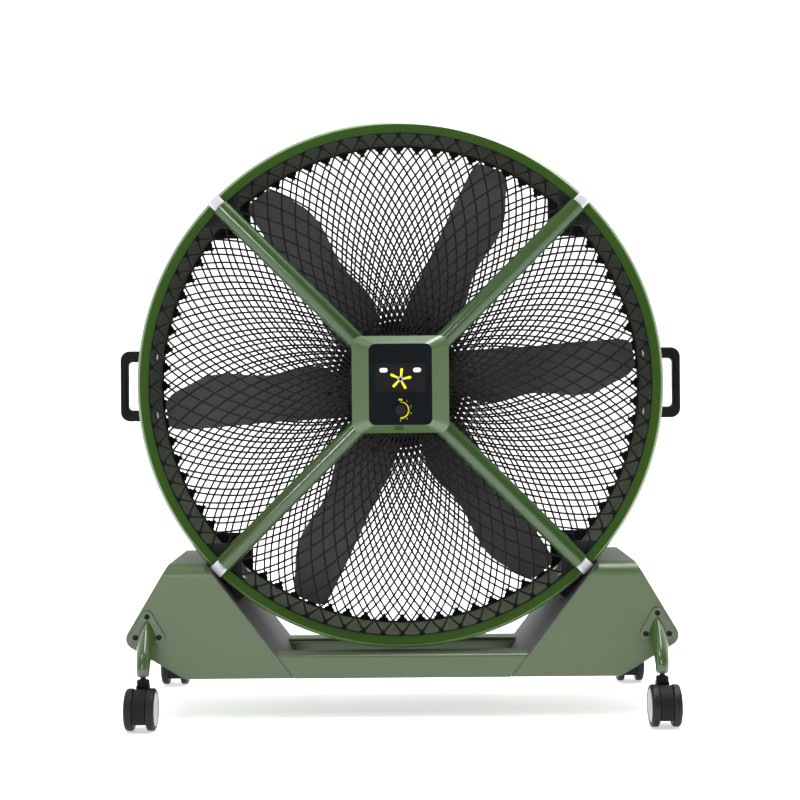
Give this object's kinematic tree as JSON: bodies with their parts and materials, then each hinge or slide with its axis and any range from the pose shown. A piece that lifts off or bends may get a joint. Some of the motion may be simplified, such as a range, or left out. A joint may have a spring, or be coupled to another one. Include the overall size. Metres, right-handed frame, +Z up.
{
  "type": "portable drum fan",
  "caption": "Large portable drum fan with crossed wire guards, a central control box on spokes, side handles and a low cradle base on bent legs with twin-wheel swivel casters.",
  "frame": {"origin": "on the ground under the middle of the drum", "axes": "+X to the right seen from the control side, +Y to the back, +Z up; the fan axis runs along Y"},
  "size_m": [1.075, 0.521, 1.102],
  "materials": {
    "green_paint": "satin powder coat",
    "black_steel": "satin black coat",
    "clip_grey": "light grey",
    "black_plastic": "fine grain",
    "display_gloss": "smoked gloss",
    "lens_white": "clear white",
    "blade_plastic": "charcoal, smooth",
    "steel": "zinc plated",
    "black_bolt": "black oxide",
    "iron": "lacquered laminations",
    "aluminium": "cast, dark",
    "board": "circuit board",
    "saddle_rubber": "moulded rubber",
    "wheel_black": "moulded nylon"
  },
  "bodies": {
    "frame": {"base_box_left": "green_paint", "base_box_right": "green_paint", "cable_gland": "black_plastic", "control_fascia": "black_plastic", "control_housing": "green_paint", "corner_plates": "black_steel", "cradle_panels": "black_steel", "crossbar_front": "green_paint", "crossbar_rear": "green_paint", "display_window": "display_gloss", "drive_board": "board", "drum_shell": "green_paint", "frame_bolts": "steel", "front_guard_wires_a": "black_steel", "front_guard_wires_b": "black_steel", "front_mount_plate": "black_steel", "front_rim": "green_paint", "front_spokes": "green_paint", "handle_left": "black_plastic", "handle_right": "black_plastic", "indicator_lenses": "lens_white", "leg_bolts": "black_bolt", "legs": "green_paint", "motor_axle": "steel", "motor_bearings": "steel", "motor_stator": "iron", "rear_guard_wires_a": "black_steel", "rear_guard_wires_b": "black_steel", "rear_hub_cover": "green_paint", "rear_mount_plate": "black_steel", "rear_rim": "green_paint", "rear_spokes": "green_paint", "rim_clips": "clip_grey", "saddle_blocks": "saddle_rubber", "speed_potentiometer": "black_plastic"},
    "rotor": {"rotor_can": "aluminium", "rotor_cover": "aluminium", "rotor_magnets": "iron", "blade_spider": "aluminium", "fan_blades": "blade_plastic", "blade_bolts": "steel"},
    "knob": {"speed_knob": "black_plastic", "knob_shaft": "steel"},
    "swivel_fl": {"caster_fl_hood": "black_plastic", "caster_fl_pins": "steel"},
    "wheel_fl_left": {"caster_fl_wheel_left": "wheel_black"},
    "wheel_fl_right": {"caster_fl_wheel_right": "wheel_black"},
    "swivel_fr": {"caster_fr_hood": "black_plastic", "caster_fr_pins": "steel"},
    "wheel_fr_left": {"caster_fr_wheel_left": "wheel_black"},
    "wheel_fr_right": {"caster_fr_wheel_right": "wheel_black"},
    "swivel_rl": {"caster_rl_hood": "black_plastic", "caster_rl_pins": "steel"},
    "wheel_rl_left": {"caster_rl_wheel_left": "wheel_black"},
    "wheel_rl_right": {"caster_rl_wheel_right": "wheel_black"},
    "swivel_rr": {"caster_rr_hood": "black_plastic", "caster_rr_pins": "steel"},
    "wheel_rr_left": {"caster_rr_wheel_left": "wheel_black"},
    "wheel_rr_right": {"caster_rr_wheel_right": "wheel_black"}
  },
  "joints": [
    {"name": "fan_spin", "type": "hinge", "parent": "frame", "child": "rotor", "pos_m": [0, 0, 0.615], "axis": [0, -1, 0], "continuous": true},
    {"name": "knob_turn", "type": "hinge", "parent": "frame", "child": "knob", "pos_m": [0, -0.21, 0.5688], "axis": [0, 1, 0], "range_deg": [0, 180]},
    {"name": "swivel_fl_turn", "type": "hinge", "parent": "frame", "child": "swivel_fl", "pos_m": [-0.468, -0.198, 0.08], "axis": [0, 0, 1], "continuous": true},
    {"name": "wheel_fl_left_spin", "type": "hinge", "parent": "swivel_fl", "child": "wheel_fl_left", "pos_m": [-0.486, -0.223, 0.0375], "axis": [1, 0, 0], "continuous": true},
    {"name": "wheel_fl_right_spin", "type": "hinge", "parent": "swivel_fl", "child": "wheel_fl_right", "pos_m": [-0.45, -0.223, 0.0375], "axis": [1, 0, 0], "continuous": true},
    {"name": "swivel_fr_turn", "type": "hinge", "parent": "frame", "child": "swivel_fr", "pos_m": [0.468, -0.198, 0.08], "axis": [0, 0, 1], "continuous": true},
    {"name": "wheel_fr_left_spin", "type": "hinge", "parent": "swivel_fr", "child": "wheel_fr_left", "pos_m": [0.45, -0.223, 0.0375], "axis": [1, 0, 0], "continuous": true},
    {"name": "wheel_fr_right_spin", "type": "hinge", "parent": "swivel_fr", "child": "wheel_fr_right", "pos_m": [0.486, -0.223, 0.0375], "axis": [1, 0, 0], "continuous": true},
    {"name": "swivel_rl_turn", "type": "hinge", "parent": "frame", "child": "swivel_rl", "pos_m": [-0.468, 0.198, 0.08], "axis": [0, 0, 1], "continuous": true},
    {"name": "wheel_rl_left_spin", "type": "hinge", "parent": "swivel_rl", "child": "wheel_rl_left", "pos_m": [-0.486, 0.223, 0.0375], "axis": [1, 0, 0], "continuous": true},
    {"name": "wheel_rl_right_spin", "type": "hinge", "parent": "swivel_rl", "child": "wheel_rl_right", "pos_m": [-0.45, 0.223, 0.0375], "axis": [1, 0, 0], "continuous": true},
    {"name": "swivel_rr_turn", "type": "hinge", "parent": "frame", "child": "swivel_rr", "pos_m": [0.468, 0.198, 0.08], "axis": [0, 0, 1], "continuous": true},
    {"name": "wheel_rr_left_spin", "type": "hinge", "parent": "swivel_rr", "child": "wheel_rr_left", "pos_m": [0.45, 0.223, 0.0375], "axis": [1, 0, 0], "continuous": true},
    {"name": "wheel_rr_right_spin", "type": "hinge", "parent": "swivel_rr", "child": "wheel_rr_right", "pos_m": [0.486, 0.223, 0.0375], "axis": [1, 0, 0], "continuous": true}
  ]
}
